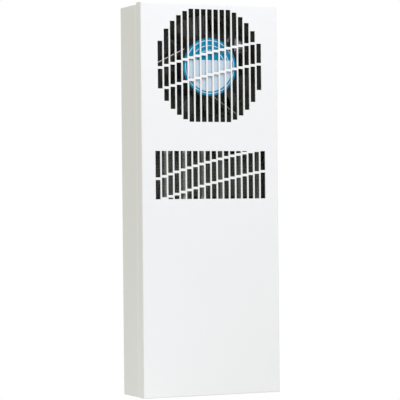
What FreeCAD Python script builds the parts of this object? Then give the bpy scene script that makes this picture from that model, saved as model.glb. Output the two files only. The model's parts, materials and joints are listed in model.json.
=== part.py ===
"""Wall-mounted enclosure heat exchanger with two separate air loops and a heat pipe core.

Frame: X to the viewer's right, Y to the rear, Z up. The origin is the middle of the rear mounting
plane. The front half of the air path lies above the divider plate, the sealed enclosure loop below it.
"""
import FreeCAD, Part
import math
import os

import Sketcher

Vector = FreeCAD.Vector

doc = FreeCAD.newDocument("enclosure_heat_exchanger")
dims = doc.addObject("Spreadsheet::Sheet", "dims")

# Driving dimensions in millimetres and degrees
DRIVING = {
    # casing sheet metal
    "case_width": 210.0,
    "case_height": 550.0,
    "case_depth": 80.0,
    "sheet_gauge": 1.5,
    "bend_inner": 0.2,
    "cover_lip": 16.0,
    "cover_clear": 0.5,
    "front_lip": 4.0,
    "rear_flange": 18.0,
    "fit_clear": 0.3,
    # seals
    "seal_thick": 2.5,
    "seal_inset": 0.6,
    "pad_thick": 4.0,
    "pad_inset": 3.0,
    "pad_width": 15.0,
    # slotted grilles
    "slot_width": 7.35,
    "slot_pitch": 9.525,
    "fan_grille_drop": 86.6,
    "fan_grille_radius": 86.5,
    "fan_grille_reach": 79.2,
    "coil_grille_mid": 34.85,
    "coil_grille_height": 67.3,
    "web_gap": 3.5,
    "web_spacing": 31.0,
    "web_radius": 1000.0,
    "web_angle": 14.1,
    "fan_web_rise": 18.4,
    "coil_web_rise": 19.0,
    # fans
    "enclosure_fan_lift": 98.0,
    "fan_gap": 2.2,
    "rear_fan_gap": 3.0,
    "fan_radius": 86.0,
    "fan_flat": 80.0,
    "fan_depth": 51.0,
    "fan_flange": 5.0,
    "bore_radius": 73.0,
    "bell_mouth": 5.0,
    "barrel_wall": 3.0,
    "tip_clear": 1.5,
    "hub_radius": 45.0,
    "hub_plate": 4.0,
    "strut_width": 6.0,
    "strut_inset": 7.2,
    "strut_angle": 26.0,
    "rotor_gap": 2.0,
    "rotor_radius": 43.5,
    "rotor_wall": 2.0,
    "rotor_back": 3.0,
    "rotor_length": 38.0,
    "blade_phase": 42.5,
    "blade_thick": 1.8,
    "blade_camber": 6.0,
    "root_chord": 38.0,
    "middle_chord": 56.0,
    "tip_chord": 72.0,
    "root_stagger": 46.0,
    "middle_stagger": 33.0,
    "tip_stagger": 25.0,
    "shaft_radius": 4.0,
    "run_clear": 0.05,
    "press_clear": 0.02,
    "bearing_radius": 11.0,
    "bearing_width": 7.0,
    "tube_wall": 2.5,
    "tube_length": 30.5,
    "stator_radius": 38.5,
    "stator_stack": 19.0,
    "winding_height": 3.0,
    "label_radius": 40.7,
    "label_across": 1.2,
    "label_drop": 1.5,
    "label_thick": 0.3,
    "ear_radius": 80.5,
    "ear_angle": 25.0,
    "screw_radius": 2.0,
    "screw_clear": 0.1,
    "screw_head": 3.6,
    "screw_head_height": 1.8,
    # heat pipe core
    "pipe_radius": 4.75,
    "pipe_pitch": 28.6,
    "pipe_reach": 76.0,
    "pipe_clear": 0.1,
    "row_gap": 20.0,
    "coil_depth": 40.0,
    "fin_thick": 0.4,
    "fin_pitch": 7.5,
    "fin_count": 9.0,
    "fin_start": 5.0,
    "end_plate_level": 70.0,
    "side_plate_gap": 1.5,
    "divider_flange": 12.0,
    # mounting and fastening
    "mount_side": 12.5,
    "mount_end": 13.0,
    "mount_middle": 180.0,
    "thread_radius": 3.0,
    "insert_radius": 4.5,
    "insert_bulge": 6.0,
    "insert_length": 10.0,
    "cover_screw_spread": 120.0,
    "hook_width": 12.0,
    "hook_inset": 8.0,
    # wiring
    "inlet_across": 10.0,
    "inlet_drop": 85.0,
    "inlet_bore": 7.0,
    "inlet_wall": 3.5,
    "inlet_flange": 3.0,
    "block_left": -70.0,
    "block_length": 60.0,
    "block_height": 22.0,
    "block_depth": 12.0,
    "block_drop": 87.0,
    "barrier_rise": 7.0,
    "barrier_thick": 2.0,
    "lead_radius": 1.8,
    "lead_wall_gap": 7.5,
    "lead_clear": 0.1,
    "grommet_neck": 3.4,
    "grommet_flange": 4.6,
    "grommet_gap": 0.2,
    "earth_across": 60.0,
    "earth_radius": 2.5,
}

# Sizes that follow from the driving dimensions
DERIVED = {
    "bend_radius": "sheet_gauge + bend_inner",
    "step": "sheet_gauge + cover_clear",
    "body_width": "case_width - 2 * step",
    "body_half": "body_width / 2",
    "body_top": "case_height / 2 - step",
    "body_bottom": "-case_height / 2",
    "joggle_bottom": "body_bottom + step",
    "wall_half": "body_half - sheet_gauge",
    "fit_half": "wall_half - fit_clear",
    "lip_half": "body_half - front_lip - fit_clear",
    "roof": "body_top - sheet_gauge - fit_clear",
    "floor": "body_bottom + sheet_gauge + fit_clear",
    "lip_back": "case_depth - cover_lip",
    "joggle_face": "lip_back - cover_clear",
    "panel_back": "case_depth - sheet_gauge",
    "lip_plane": "panel_back - seal_thick",
    "rear_face": "2 * sheet_gauge",
    "core_middle": "(panel_back + rear_face) / 2",
    "ambient_fan_rise": "case_height / 2 - fan_grille_drop",
    "enclosure_fan_drop": "case_height / 2 - enclosure_fan_lift",
    "fan_face": "panel_back - fan_gap",
    "fan_plate_face": "fan_face - fan_flange",
    "inner_fan_face": "rear_face + rear_fan_gap",
    "inner_plate_face": "inner_fan_face + fan_flange",
    "barrel_radius": "bore_radius + barrel_wall",
    "tip_radius": "bore_radius - tip_clear",
    "rotor_front": "hub_plate + rotor_gap",
    "rotor_rear": "rotor_front + rotor_length",
    "cavity_radius": "rotor_radius - rotor_wall",
    "cavity_floor": "rotor_rear - rotor_back",
    "blade_middle": "(rotor_front + rotor_rear) / 2",
    "bearing_bore": "shaft_radius + run_clear",
    "tube_bore": "bearing_radius + press_clear",
    "tube_radius": "tube_bore + tube_wall",
    "tube_end": "hub_plate + tube_length",
    "stator_bore": "tube_radius + run_clear",
    "stator_start": "hub_plate + 3 * winding_height",
    "pipe_hole": "pipe_radius + pipe_clear",
    "core_half": "coil_depth / 2",
    "side_plate_half": "wall_half - side_plate_gap",
    "fin_half": "side_plate_half - sheet_gauge - fit_clear",
    "web_middle": "web_radius * sin(web_angle * 1 deg)",
    "half_gauge": "sheet_gauge / 2",
    "mount_across": "case_width - 2 * mount_side",
    "mount_tall": "case_height - 2 * mount_end",
    "screw_hole": "screw_radius + screw_clear",
    "inlet_radius": "inlet_bore + inlet_wall",
    "block_face": "inner_plate_face + sheet_gauge",
    "lead_across": "lead_wall_gap - wall_half",
    "lead_depth": "block_face + fit_clear + grommet_flange + grommet_gap",
}


def fill_sheet():
    """Write every named size to the sheet, one row each, with its name beside it."""
    rows = [(name, str(value)) for name, value in DRIVING.items()]
    rows += [(name, "=" + formula) for name, formula in DERIVED.items()]
    for row, (name, text) in enumerate(rows, start=1):
        dims.set(f"A{row}", name)
        dims.set(f"B{row}", text)
        dims.setAlias(f"B{row}", name)
    doc.recompute()


def size(name):
    """The value of a named size."""
    return float(dims.get(name))


def bind(expression):
    """An expression over named sizes, written with the sheet's name before each of them."""
    words = []
    word = ""
    for sign in expression + " ":
        if sign.isalnum() or sign == "_":
            word += sign
            continue
        if word in DRIVING or word in DERIVED:
            word = "dims." + word
        words.append(word + sign)
        word = ""
    return "".join(words).strip()


def drive(thing, **properties):
    """Bind properties of an object to expressions over named sizes."""
    for name, expression in properties.items():
        thing.setExpression(name.replace("__", "."), bind(expression))


def new_body(label):
    body = doc.addObject("PartDesign::Body", label)
    body.Label = label
    return body


def origin_of(body, role):
    return [feature for feature in body.Origin.OriginFeatures if feature.Role == role][0]


def new_sketch(body, plane, offset="0"):
    """A sketch parallel to one of the body's planes. Along XZ_Plane the offset runs to the front."""
    sketch = body.newObject("Sketcher::SketchObject", "sketch")
    sketch.AttachmentSupport = (origin_of(body, plane), [""])
    sketch.MapMode = "FlatFace"
    drive(sketch, AttachmentOffset__Base__z=offset)
    return sketch


def place_point(sketch, line, across, up, end=1):
    """Hold one end of a line to the sketch's origin by two driven distances."""
    here = sketch.getPoint(line, end)
    for kind, value, expression in (("DistanceX", here.x, across), ("DistanceY", here.y, up)):
        index = sketch.addConstraint(Sketcher.Constraint(kind, -1, 1, line, end, value))
        sketch.setExpression(f"Constraints[{index}]", bind(expression))


def polygon(sketch, points):
    """A closed outline whose corners are driven points."""
    first = sketch.GeometryCount
    count = len(points)
    angles = [2 * math.pi * i / count for i in range(count)]
    spread = [Vector(math.cos(angle), math.sin(angle)) for angle in angles]
    for i in range(count):
        sketch.addGeometry(Part.LineSegment(spread[i], spread[(i + 1) % count]))
    for i in range(count):
        sketch.addConstraint(Sketcher.Constraint("Coincident", first + i, 2, first + (i + 1) % count, 1))
    for i, (across, up) in enumerate(points):
        place_point(sketch, first + i, across, up)


def rectangle(sketch, left, right, low, high):
    polygon(sketch, [(left, low), (right, low), (right, high), (left, high)])


def circle(sketch, across, up, radius):
    index = sketch.addGeometry(Part.Circle(Vector(), Vector(0, 0, 1), 1))
    place_point(sketch, index, across, up, end=3)
    ring = sketch.addConstraint(Sketcher.Constraint("Radius", index, 1.0))
    sketch.setExpression(f"Constraints[{ring}]", bind(radius))


def hexagon(sketch, across, up, corner):
    points = []
    for index in range(6):
        angle = f"{60 * index} * 1 deg"
        points.append((f"{across} + ({corner}) * cos({angle})", f"{up} + ({corner}) * sin({angle})"))
    polygon(sketch, points)


def pad(body, sketch, length, reverse=False):
    feature = body.newObject("PartDesign::Pad", "pad")
    feature.Profile = sketch
    feature.Reversed = reverse
    drive(feature, Length=length)
    return feature


def cut(body, sketch, length, reverse=False):
    """A pocket, which has to take material away."""
    doc.recompute()
    before = body.Shape.Volume
    feature = body.newObject("PartDesign::Pocket", "pocket")
    feature.Profile = sketch
    feature.Reversed = reverse
    drive(feature, Length=length)
    doc.recompute()
    if not body.Shape.Volume < before:
        raise RuntimeError(f"a pocket of {body.Label} removes nothing")
    return feature


def turn(body, sketch, kind="PartDesign::Revolution"):
    """A full turn of a profile about the sketch's upright axis."""
    feature = body.newObject(kind, "turned")
    feature.Profile = sketch
    feature.ReferenceAxis = (sketch, ["V_Axis"])
    feature.Angle = 360
    return feature


def polar(body, feature, count):
    """Copies of a feature round the body's own Z axis."""
    pattern = body.newObject("PartDesign::PolarPattern", "around")
    pattern.Originals = [feature]
    pattern.Axis = (origin_of(body, "Z_Axis"), [""])
    pattern.Angle = 360
    pattern.Occurrences = count
    body.Tip = pattern
    return pattern


def linear(body, feature, axis, length, count, reverse=False):
    """Evenly spaced copies of a feature along one of the body's axes."""
    pattern = body.newObject("PartDesign::LinearPattern", "row")
    pattern.Originals = [feature]
    pattern.Direction = (origin_of(body, axis), [""])
    pattern.Reversed = reverse
    drive(pattern, Length=length, Occurrences=count)
    body.Tip = pattern
    return pattern


def round_plane(body, feature, level, radius):
    """Round every edge of a feature that lies in the plane at one depth behind the origin."""
    doc.recompute()
    names = []
    for number, edge in enumerate(feature.Shape.Edges, start=1):
        box = edge.BoundBox
        if abs(box.YMin - level) < 1e-6 and abs(box.YMax - level) < 1e-6:
            names.append(f"Edge{number}")
    fillet = body.newObject("PartDesign::Fillet", "bend")
    fillet.Base = (feature, names)
    drive(fillet, Radius=radius)
    return fillet


def block(name, left, right, front, rear, low, high):
    """A box between driven planes."""
    box = doc.addObject("Part::Box", name)
    drive(box, Length=f"({right}) - ({left})", Width=f"({rear}) - ({front})",
          Height=f"({high}) - ({low})")
    drive(box, Placement__Base__x=left, Placement__Base__y=front, Placement__Base__z=low)
    return box


def together(name, things):
    group = doc.addObject("Part::Compound", name)
    group.Links = things
    return group


def subtract(label, base, tool):
    result = doc.addObject("Part::Cut", label)
    result.Label = label
    result.Base = base
    result.Tool = tool
    return result


parts = []


def keep(thing, label=None):
    """List an object as one of the finished sub-parts."""
    if label:
        thing.Label = label
    parts.append(thing)
    return thing


# Slotted grilles: upright slots broken by two webs that rise along one large arc
def grille(name, columns, middle, reach, rise, front, rear):
    """The tool that cuts a grille: one box for each slot, less one box for each crossing web."""
    slots = []
    webs = []
    for number, column in enumerate(columns):
        across = f"({column}) * slot_pitch"
        half = reach(column)
        left = f"{across} - slot_width / 2"
        right = f"{across} + slot_width / 2"
        slots.append(block(f"{name}_slot_{number}", left, right, front, rear,
                           f"{middle} - ({half})", f"{middle} + ({half})"))
        climb = (f"sqrt(web_radius ^ 2 - ({across} - web_middle) ^ 2)"
                 " - sqrt(web_radius ^ 2 - web_middle ^ 2)")
        for level in ("0", "web_spacing"):
            line = f"{middle} + {rise} + {climb} - {level}"
            webs.append(block(f"{name}_web_{number}", f"{left} - web_gap / 4", f"{right} + web_gap / 4",
                              front, rear, f"{line} - web_gap / 2", f"{line} + web_gap / 2"))
    return subtract(f"{name}_openings", together(f"{name}_slots", slots), together(f"{name}_webs", webs))


FAN_COLUMNS = range(-8, 9)
COIL_COLUMNS = [index + 0.5 for index in range(-9, 9)]


def fan_reach(column):
    """Half height of a fan slot: its outer corners lie on a circle with a flat top and bottom."""
    corner = f"abs({column}) * slot_pitch + slot_width / 2"
    return f"min(fan_grille_reach; sqrt(fan_grille_radius ^ 2 - ({corner}) ^ 2))"


def coil_reach(column):
    return "coil_grille_height / 2"


def make_front_cover():
    body = new_body("front_cover_pan")
    sketch = new_sketch(body, "XZ_Plane", "lip_back")
    rectangle(sketch, "-case_width / 2", "case_width / 2", "-case_height / 2", "case_height / 2")
    pan = pad(body, sketch, "cover_lip")
    bend = round_plane(body, pan, -size("case_depth"), "bend_radius")
    doc.recompute()
    inside = new_sketch(body, "XZ_Plane", "lip_back")
    rectangle(inside, "sheet_gauge - case_width / 2", "case_width / 2 - sheet_gauge",
              "sheet_gauge - case_height / 2", "case_height / 2 - sheet_gauge")
    hollow = cut(body, inside, "cover_lip - sheet_gauge", reverse=True)
    round_plane(body, hollow, -size("panel_back"), "bend_inner")
    doc.recompute()
    for side in (-1, 1):
        sink = new_sketch(body, "XZ_Plane", "case_depth - cover_lip / 2")
        drive(sink, AttachmentOffset__Base__x=f"{side} * cover_screw_spread / 2")
        polygon(sink, [
            ("0", "body_bottom"),
            ("screw_hole + sheet_gauge", "body_bottom"),
            ("screw_hole", "body_bottom + sheet_gauge"),
            ("0", "body_bottom + sheet_gauge"),
        ])
        turn(body, sink, "PartDesign::Groove")
    through = ("-case_depth - sheet_gauge", "sheet_gauge - panel_back")
    fan = grille("front_fan", FAN_COLUMNS, "ambient_fan_rise", fan_reach, "fan_web_rise", *through)
    coil = grille("front_coil", COIL_COLUMNS, "coil_grille_mid", coil_reach, "coil_web_rise", *through)
    keep(subtract("front_cover", body, together("front_grilles", [fan, coil])))


def mount_places():
    """The middles of the eight mounting threads, as driven distances across and up."""
    for side in (-1, 1):
        for spread in ("mount_tall", "mount_middle"):
            for end in (-1, 1):
                yield f"{side} * mount_across / 2", f"{end} * {spread} / 2"


def make_chassis():
    body = new_body("chassis_shell")
    rear = new_sketch(body, "XZ_Plane")
    rectangle(rear, "-body_half", "body_half", "body_bottom", "body_top")
    rear_box = pad(body, rear, "joggle_face")
    round_plane(body, rear_box, 0.0, "bend_radius")
    front = new_sketch(body, "XZ_Plane", "joggle_face - sheet_gauge")
    rectangle(front, "-body_half", "body_half", "joggle_bottom", "body_top")
    pad(body, front, "lip_plane - joggle_face + sheet_gauge")
    cavity = new_sketch(body, "XZ_Plane", "joggle_face - sheet_gauge")
    rectangle(cavity, "-wall_half", "wall_half", "body_bottom + sheet_gauge", "body_top - sheet_gauge")
    cut(body, cavity, "joggle_face - 2 * sheet_gauge")
    throat = new_sketch(body, "XZ_Plane", "lip_plane - sheet_gauge")
    rectangle(throat, "-wall_half", "wall_half", "joggle_bottom + sheet_gauge", "body_top - sheet_gauge")
    cut(body, throat, "lip_plane - joggle_face")
    mouth = new_sketch(body, "XZ_Plane", "lip_plane")
    rectangle(mouth, "front_lip - body_half", "body_half - front_lip",
              "joggle_bottom + front_lip", "body_top - front_lip")
    cut(body, mouth, "sheet_gauge")
    window = new_sketch(body, "XZ_Plane", "sheet_gauge")
    rectangle(window, "rear_flange - body_half", "body_half - rear_flange",
              "body_bottom + rear_flange", "body_top - rear_flange")
    cut(body, window, "sheet_gauge")
    holes = new_sketch(body, "XZ_Plane", "sheet_gauge")
    for across, up in mount_places():
        circle(holes, across, up, "insert_radius + screw_clear")
    cut(body, holes, "sheet_gauge")
    screws = new_sketch(body, "XY_Plane", "joggle_bottom + sheet_gauge")
    for side in (-1, 1):
        circle(screws, f"{side} * cover_screw_spread / 2", "cover_lip / 2 - case_depth", "screw_hole")
    cut(body, screws, "sheet_gauge")
    keep(body)


def make_rear_panel():
    body = new_body("rear_plate")
    sketch = new_sketch(body, "XZ_Plane", "sheet_gauge")
    rectangle(sketch, "-fit_half", "fit_half", "floor", "roof")
    pad(body, sketch, "sheet_gauge")
    holes = new_sketch(body, "XZ_Plane", "rear_face")
    for across, up in mount_places():
        circle(holes, across, up, "insert_radius + screw_clear")
    circle(holes, "inlet_across", "-inlet_drop", "inlet_radius + fit_clear")
    cut(body, holes, "sheet_gauge")
    through = ("-rear_face - sheet_gauge", "0")
    fan = grille("rear_fan", FAN_COLUMNS, "-enclosure_fan_drop", fan_reach, "fan_web_rise", *through)
    coil = grille("rear_coil", COIL_COLUMNS, "-coil_grille_mid", coil_reach, "coil_web_rise", *through)
    keep(subtract("rear_panel", body, together("rear_grilles", [fan, coil])))


def make_seals():
    body = new_body("rear_gasket")
    sketch = new_sketch(body, "XZ_Plane")
    inner = "(pad_inset + pad_width)"
    for inset in ("pad_inset", inner):
        rectangle(sketch, f"{inset} - body_half", f"body_half - {inset}",
                  f"body_bottom + {inset}", f"body_top - {inset}")
    for across, up in mount_places():
        circle(sketch, across, up, "insert_radius + pad_inset / 2")
    pad(body, sketch, "pad_thick", reverse=True)
    keep(body)

    body = new_body("cover_gasket")
    sketch = new_sketch(body, "XZ_Plane", "lip_plane")
    rectangle(sketch, "seal_inset - body_half", "body_half - seal_inset",
              "joggle_bottom + seal_inset", "body_top - seal_inset")
    window = ("front_lip - body_half", "body_half - front_lip")
    rectangle(sketch, *window, "half_gauge", "body_top - front_lip")
    rectangle(sketch, *window, "joggle_bottom + front_lip", "-divider_flange")
    pad(body, sketch, "seal_thick")
    keep(body)


def make_cover_hooks():
    """Two folded clips on the cover's inner face that reach behind the chassis' top front lip."""
    low = "body_top - front_lip - 3 * hook_width / 2"
    shelf = "body_top - front_lip - hook_width / 4"
    bare = "panel_back - sheet_gauge"
    tongue = "lip_plane - sheet_gauge - fit_clear"
    body = new_body("cover_hooks")
    for side in (-1, 1):
        inner = f"{side} * (body_half - hook_inset - hook_width)"
        outer = f"{side} * (body_half - hook_inset)"
        foot = new_sketch(body, "XZ_Plane", bare)
        rectangle(foot, inner, outer, low, shelf)
        pad(body, foot, "sheet_gauge")
        leg = new_sketch(body, "XZ_Plane", f"{tongue} - sheet_gauge")
        rectangle(leg, inner, outer, f"{shelf} - sheet_gauge", shelf)
        pad(body, leg, f"{bare} - ({tongue}) + sheet_gauge")
        rise = new_sketch(body, "XZ_Plane", f"{tongue} - sheet_gauge")
        rectangle(rise, inner, outer, f"{shelf} - sheet_gauge", "roof")
        pad(body, rise, "sheet_gauge")
    keep(body)


def make_inserts():
    """Threaded inserts that clamp the rear panel to the chassis flange."""
    turned = []
    for number, (across, up) in enumerate(mount_places()):
        body = new_body(f"insert_{number}")
        sketch = new_sketch(body, "XZ_Plane")
        polygon(sketch, [
            ("thread_radius", "0"),
            ("insert_radius", "0"),
            ("insert_radius", "rear_face"),
            ("insert_bulge", "rear_face"),
            ("insert_radius", "rear_face + insert_bulge - insert_radius"),
            ("insert_radius", "insert_length"),
            ("thread_radius", "insert_length"),
        ])
        turn(body, sketch)
        body.Placement = FreeCAD.Placement(Vector(), FreeCAD.Rotation(Vector(1, 0, 0), 90))
        drive(body, Placement__Base__x=across, Placement__Base__z=up)
        turned.append(body)
    keep(together("mounting_inserts", turned))


def cross_recess(body, level, depth):
    """Sink a cross-shaped driver recess into a screw head."""
    long, short = "screw_radius * 3 / 4", "screw_radius / 5"
    arms = [(long, short), (short, long)]
    outline = []
    for across, up in ((1, 1), (-1, 1), (-1, -1), (1, -1)):
        corner = [arms[0], (short, short), arms[1]]
        if across * up < 0:
            corner.reverse()
        outline += [(f"{across} * {x}", f"{up} * {y}") for x, y in corner]
    sketch = new_sketch(body, "XY_Plane", level)
    polygon(sketch, outline)
    cut(body, sketch, depth)


def screw(name, head_radius, head_height, length):
    """A pan head screw: its seat at the local origin, its head along +Z."""
    body = new_body(name)
    sketch = new_sketch(body, "XZ_Plane")
    polygon(sketch, [
        ("0", f"-({length})"),
        ("screw_radius / 2", f"-({length})"),
        ("screw_radius", f"screw_radius / 2 - ({length})"),
        ("screw_radius", "0"),
        (head_radius, "0"),
        (head_radius, f"({head_height}) / 2"),
        (f"({head_radius}) * 3 / 4", head_height),
        ("0", head_height),
    ])
    turn(body, sketch)
    cross_recess(body, head_height, f"({head_height}) / 2")
    return body


def flush_screw(name, length):
    """A countersunk screw: its flat head at the local origin, as deep as the sheet it sits in."""
    body = new_body(name)
    sketch = new_sketch(body, "XZ_Plane")
    polygon(sketch, [
        ("0", f"-({length})"),
        ("screw_radius / 2", f"-({length})"),
        ("screw_radius", f"screw_radius / 2 - ({length})"),
        ("screw_radius", "-sheet_gauge"),
        ("screw_radius + sheet_gauge", "0"),
        ("0", "0"),
    ])
    turn(body, sketch)
    cross_recess(body, "0", "sheet_gauge * 2 / 3")
    return body


def make_cover_screws():
    made = []
    for side in (-1, 1):
        body = flush_screw(f"cover_screw_{side + 1}", "3 * step")
        body.Placement = FreeCAD.Placement(Vector(), FreeCAD.Rotation(Vector(1, 0, 0), 180))
        drive(body, Placement__Base__x=f"{side} * cover_screw_spread / 2",
              Placement__Base__y="cover_lip / 2 - case_depth", Placement__Base__z="body_bottom")
        made.append(body)
    keep(together("cover_screws", made))


# Heat pipe core
FRONT_ROW = range(-3, 4)
REAR_ROW = [index + 0.5 for index in range(-3, 3)]


def pipe_places():
    """The middles of the heat pipes, front row and then rear row."""
    for index in FRONT_ROW:
        yield f"({index}) * pipe_pitch", "-core_middle - row_gap / 2"
    for index in REAR_ROW:
        yield f"({index}) * pipe_pitch", "row_gap / 2 - core_middle"


def pipe_holes(sketch):
    for across, depth in pipe_places():
        circle(sketch, across, depth, "pipe_hole")


def make_heat_pipes():
    body = new_body("heat_pipes")
    rows = ((FRONT_ROW, "core_middle + row_gap / 2"), (REAR_ROW, "core_middle - row_gap / 2"))
    for row, depth in rows:
        sketch = new_sketch(body, "XZ_Plane", depth)
        drive(sketch, AttachmentOffset__Base__x=f"({row[0]}) * pipe_pitch")
        neck = "pipe_radius / 2"
        polygon(sketch, [
            ("0", "-pipe_reach"),
            (neck, "-pipe_reach"),
            ("pipe_radius", f"{neck} - pipe_reach"),
            ("pipe_radius", f"pipe_reach - {neck}"),
            (neck, "pipe_reach"),
            ("0", "pipe_reach"),
        ])
        pipe = turn(body, sketch)
        linear(body, pipe, "X_Axis", f"{len(row) - 1} * pipe_pitch", str(len(row)))
    keep(body)


def make_fins(label, side):
    """One loop's stack of plate fins, threaded on the heat pipes."""
    body = new_body(label)
    start = "fin_start" if side > 0 else "-fin_start - fin_thick"
    sketch = new_sketch(body, "XY_Plane", start)
    rectangle(sketch, "-fin_half", "fin_half", "-core_middle - core_half", "core_half - core_middle")
    for across, depth in pipe_places():
        hexagon(sketch, across, depth, "pipe_hole / cos(30 * 1 deg)")
    fin = pad(body, sketch, "fin_thick")
    linear(body, fin, "Z_Axis", "(fin_count - 1) * fin_pitch", "fin_count", reverse=side < 0)
    keep(body)


def lead_hole(sketch):
    circle(sketch, "lead_across", "-lead_depth", "grommet_neck + lead_clear")


def make_core_plates():
    """The divider between the loops, the two end plates and the side plates of the core."""
    body = new_body("divider_plate")
    sketch = new_sketch(body, "XY_Plane", "-half_gauge")
    rectangle(sketch, "-fit_half", "fit_half",
              "sheet_gauge + fit_clear - lip_plane", "-rear_face - fit_clear")
    pad(body, sketch, "sheet_gauge")
    nose = new_sketch(body, "XY_Plane", "-half_gauge")
    rectangle(nose, "-lip_half", "lip_half", "-lip_plane", "2 * sheet_gauge - lip_plane")
    pad(body, nose, "sheet_gauge")
    flange = new_sketch(body, "XZ_Plane", "lip_plane - sheet_gauge")
    rectangle(flange, "-lip_half", "lip_half", "-divider_flange", "half_gauge")
    pad(body, flange, "sheet_gauge")
    holes = new_sketch(body, "XY_Plane", "half_gauge")
    pipe_holes(holes)
    lead_hole(holes)
    cut(body, holes, "sheet_gauge")
    keep(body)

    body = new_body("core_top_plate")
    sketch = new_sketch(body, "XY_Plane", "end_plate_level")
    front_edge = "sheet_gauge + fit_clear - fan_plate_face"
    rectangle(sketch, "-fit_half", "fit_half", front_edge, "core_half - core_middle")
    pipe_holes(sketch)
    pad(body, sketch, "sheet_gauge")
    keep(body)

    body = new_body("core_bottom_plate")
    sketch = new_sketch(body, "XY_Plane", "-end_plate_level - sheet_gauge")
    rear_edge = "-inner_plate_face - sheet_gauge - fit_clear"
    rectangle(sketch, "-fit_half", "fit_half", "-core_middle - core_half", rear_edge)
    pipe_holes(sketch)
    lead_hole(sketch)
    pad(body, sketch, "sheet_gauge")
    keep(body)

    body = new_body("core_side_plates")
    low = "half_gauge + press_clear"
    high = "end_plate_level - press_clear"
    front = "-core_middle - core_half"
    for bottom, top in ((low, high), (f"-({high})", f"-({low})")):
        for side in (-1, 1):
            edge = f"{side} * side_plate_half"
            sketch = new_sketch(body, "XY_Plane", bottom)
            rectangle(sketch, f"{edge} - {side} * sheet_gauge", edge, front, f"{front} + coil_depth")
            pad(body, sketch, f"({top}) - ({bottom})")
    keep(body)


# Fans: every piece is drawn with its face at the local origin and its axis along local Z
class FanPlace:
    """Where a fan sits: its name, and the driven depth and height of its face."""

    def __init__(self, name, depth, rise, tilt):
        self.name = name
        self.depth = depth
        self.rise = rise
        self.tilt = tilt

    def seat(self, thing, turned=0.0):
        """Stand a piece that was drawn along local Z on the fan's axis, turned about it."""
        upright = FreeCAD.Rotation(Vector(1, 0, 0), self.tilt)
        thing.Placement = FreeCAD.Placement(Vector(), upright * FreeCAD.Rotation(Vector(0, 0, 1), turned))
        drive(thing, Placement__Base__y=self.depth, Placement__Base__z=self.rise)
        return thing

    def finish(self, thing, piece, turned=0.0):
        """Seat a piece and list it under the fan's name."""
        return keep(self.seat(thing, turned), f"{self.name}_{piece}")


AMBIENT_FAN = FanPlace("ambient_fan", "-fan_face", "ambient_fan_rise", 90)
ENCLOSURE_FAN = FanPlace("enclosure_fan", "-inner_fan_face", "-enclosure_fan_drop", -90)


def ear_places():
    """The four fixing ears on the flange, beside the two flats."""
    for side in (-1, 1):
        for end in (-1, 1):
            yield (f"{side} * ear_radius * cos(ear_angle * 1 deg)",
                   f"{end} * ear_radius * sin(ear_angle * 1 deg)")


def make_fan_housing(fan):
    body = new_body(f"{fan.name}_frame")
    ring = new_sketch(body, "XZ_Plane")
    polygon(ring, [
        ("bore_radius", "-fan_depth"),
        ("barrel_radius", "-fan_depth"),
        ("barrel_radius", "-fan_flange"),
        ("fan_radius", "-fan_flange"),
        ("fan_radius", "0"),
        ("bore_radius + bell_mouth", "0"),
        ("bore_radius + bell_mouth / 3", "-bell_mouth / 3"),
        ("bore_radius", "-bell_mouth"),
    ])
    turn(body, ring)
    hub = new_sketch(body, "XY_Plane")
    circle(hub, "0", "0", "hub_radius")
    pad(body, hub, "hub_plate", reverse=True)
    strut = new_sketch(body, "XY_Plane")
    strut.AttachmentOffset = FreeCAD.Placement(Vector(), FreeCAD.Rotation(Vector(0, 0, 1), 0))
    drive(strut, AttachmentOffset__Rotation__Angle="strut_angle * 1 deg")
    outer = "hub_radius - strut_inset"
    inner = "hub_radius - strut_inset - strut_width"
    reach = f"-sqrt((fan_radius - fan_flange) ^ 2 - ({inner}) ^ 2)"
    polygon(strut, [("0", outer), (reach, outer), (reach, inner), ("0", inner)])
    arm = pad(body, strut, "hub_plate", reverse=True)
    polar(body, arm, 3)
    tube = new_sketch(body, "XY_Plane", "-hub_plate")
    circle(tube, "0", "0", "tube_radius")
    pad(body, tube, "tube_length", reverse=True)
    flats = new_sketch(body, "XY_Plane")
    for side in (-1, 1):
        rectangle(flats, "-fan_radius", "fan_radius",
                  f"{side} * fan_flat", f"{side} * (fan_radius + fan_flange)")
    cut(body, flats, "fan_depth")
    ears = new_sketch(body, "XY_Plane")
    for across, up in ear_places():
        circle(ears, across, up, "screw_hole")
    cut(body, ears, "fan_flange")
    bore = new_sketch(body, "XY_Plane", "-tube_end")
    circle(bore, "0", "0", "tube_bore")
    cut(body, bore, "tube_length", reverse=True)
    fan.finish(body, "housing")


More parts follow.
